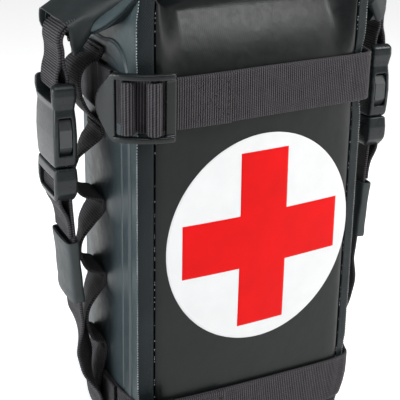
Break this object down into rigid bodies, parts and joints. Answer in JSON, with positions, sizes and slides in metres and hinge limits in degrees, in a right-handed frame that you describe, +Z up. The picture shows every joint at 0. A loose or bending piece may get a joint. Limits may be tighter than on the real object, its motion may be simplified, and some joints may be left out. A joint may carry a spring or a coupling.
{
  "type": "roll-top first-aid pouch",
  "caption": "Standing roll-top dry pouch for first-aid supplies, with a cross badge, compression straps with ladder-lock buckles, side loops and side-release closure straps.",
  "frame": {"origin": "centre of the base, on the surface that the pouch stands on", "axes": "+Z up along the pouch, -Y out of the front panel with the badge, +X to the right as seen from the front"},
  "size_m": [0.2112, 0.1059, 0.271],
  "materials": {
    "coated_fabric": "satin coated fabric, welded",
    "seam_tape": "satin coated tape",
    "white_film": "satin film",
    "red_film": "satin film",
    "webbing": "woven",
    "thread": "sewn thread",
    "buckle_plastic": "fine moulded texture",
    "keeper_sleeve": "satin",
    "stiffener": "plain"
  },
  "bodies": {
    "pouch": {"back_panel": "coated_fabric", "badge_cross": "red_film", "badge_disc": "white_film", "bottom_box_stitch": "thread", "bottom_panel": "coated_fabric", "bottom_strap": "webbing", "bottom_strap_fold": "webbing", "bottom_strap_tail": "webbing", "collar": "coated_fabric", "collar_neck": "coated_fabric", "front_panel": "coated_fabric", "left_border_strip": "seam_tape", "left_buckle_female": "buckle_plastic", "left_buckle_male": "buckle_plastic", "left_daisy_chain": "webbing", "left_daisy_tacks": "thread", "left_lower_strap": "webbing", "left_side_panel": "coated_fabric", "left_side_patch": "coated_fabric", "left_strap_anchor_stitch": "thread", "left_strap_tail": "webbing", "left_tab_webbing": "webbing", "right_border_strip": "seam_tape", "right_buckle_female": "buckle_plastic", "right_buckle_male": "buckle_plastic", "right_daisy_chain": "webbing", "right_daisy_tacks": "thread", "right_lower_strap": "webbing", "right_side_panel": "coated_fabric", "right_side_patch": "coated_fabric", "right_strap_anchor_stitch": "thread", "right_strap_tail": "webbing", "right_tab_webbing": "webbing", "roll_closure": "coated_fabric", "roll_stiffener": "stiffener", "top_box_stitch": "thread", "top_strap": "webbing", "top_strap_fold": "webbing", "top_strap_tail": "webbing"},
    "bottom_lock": {"bottom_adjuster_fold": "webbing", "bottom_ladder_lock": "buckle_plastic"},
    "left_front_prong": {"left_prong_front": "buckle_plastic"},
    "left_rear_prong": {"left_prong_rear": "buckle_plastic"},
    "left_keeper": {"left_strap_keeper": "keeper_sleeve"},
    "right_front_prong": {"right_prong_front": "buckle_plastic"},
    "right_rear_prong": {"right_prong_rear": "buckle_plastic"},
    "right_keeper": {"right_strap_keeper": "keeper_sleeve"},
    "top_lock": {"top_adjuster_fold": "webbing", "top_ladder_lock": "buckle_plastic"}
  },
  "joints": [
    {"name": "left_front_prong_squeeze", "type": "hinge", "parent": "pouch", "child": "left_front_prong", "pos_m": [-0.09893, -0.0102, 0.1716], "axis": [-0.9903, 0.1392, 0], "range_deg": [0, 6], "stiffness_Nm_per_rad": 0.2},
    {"name": "left_rear_prong_squeeze", "type": "hinge", "parent": "pouch", "child": "left_rear_prong", "pos_m": [-0.09607, 0.0102, 0.1716], "axis": [0.9903, -0.1392, 0], "range_deg": [0, 6], "stiffness_Nm_per_rad": 0.2},
    {"name": "left_keeper_slide", "type": "slide", "parent": "pouch", "child": "left_keeper", "axis": [-0.0716, 0.0101, 0.9974], "range_m": [-0.004, 0.008]},
    {"name": "right_front_prong_squeeze", "type": "hinge", "parent": "pouch", "child": "right_front_prong", "pos_m": [0.09607, -0.0102, 0.1716], "axis": [-0.9903, 0.1392, 0], "range_deg": [0, 6], "stiffness_Nm_per_rad": 0.2},
    {"name": "right_rear_prong_squeeze", "type": "hinge", "parent": "pouch", "child": "right_rear_prong", "pos_m": [0.09893, 0.0102, 0.1716], "axis": [0.9903, -0.1392, 0], "range_deg": [0, 6], "stiffness_Nm_per_rad": 0.2},
    {"name": "right_keeper_slide", "type": "slide", "parent": "pouch", "child": "right_keeper", "axis": [0.0716, -0.0101, 0.9974], "range_m": [-0.004, 0.008]},
    {"name": "top_lock_tilt", "type": "hinge", "parent": "pouch", "child": "top_lock", "pos_m": [-0.07135, -0.05238, 0.2063], "axis": [0, 0, 1], "range_deg": [0, 9]},
    {"name": "bottom_lock_tilt", "type": "hinge", "parent": "pouch", "child": "bottom_lock", "pos_m": [-0.07129, -0.05238, 0.03524], "axis": [0.0384, 0, 0.9993], "range_deg": [0, 9]}
  ]
}
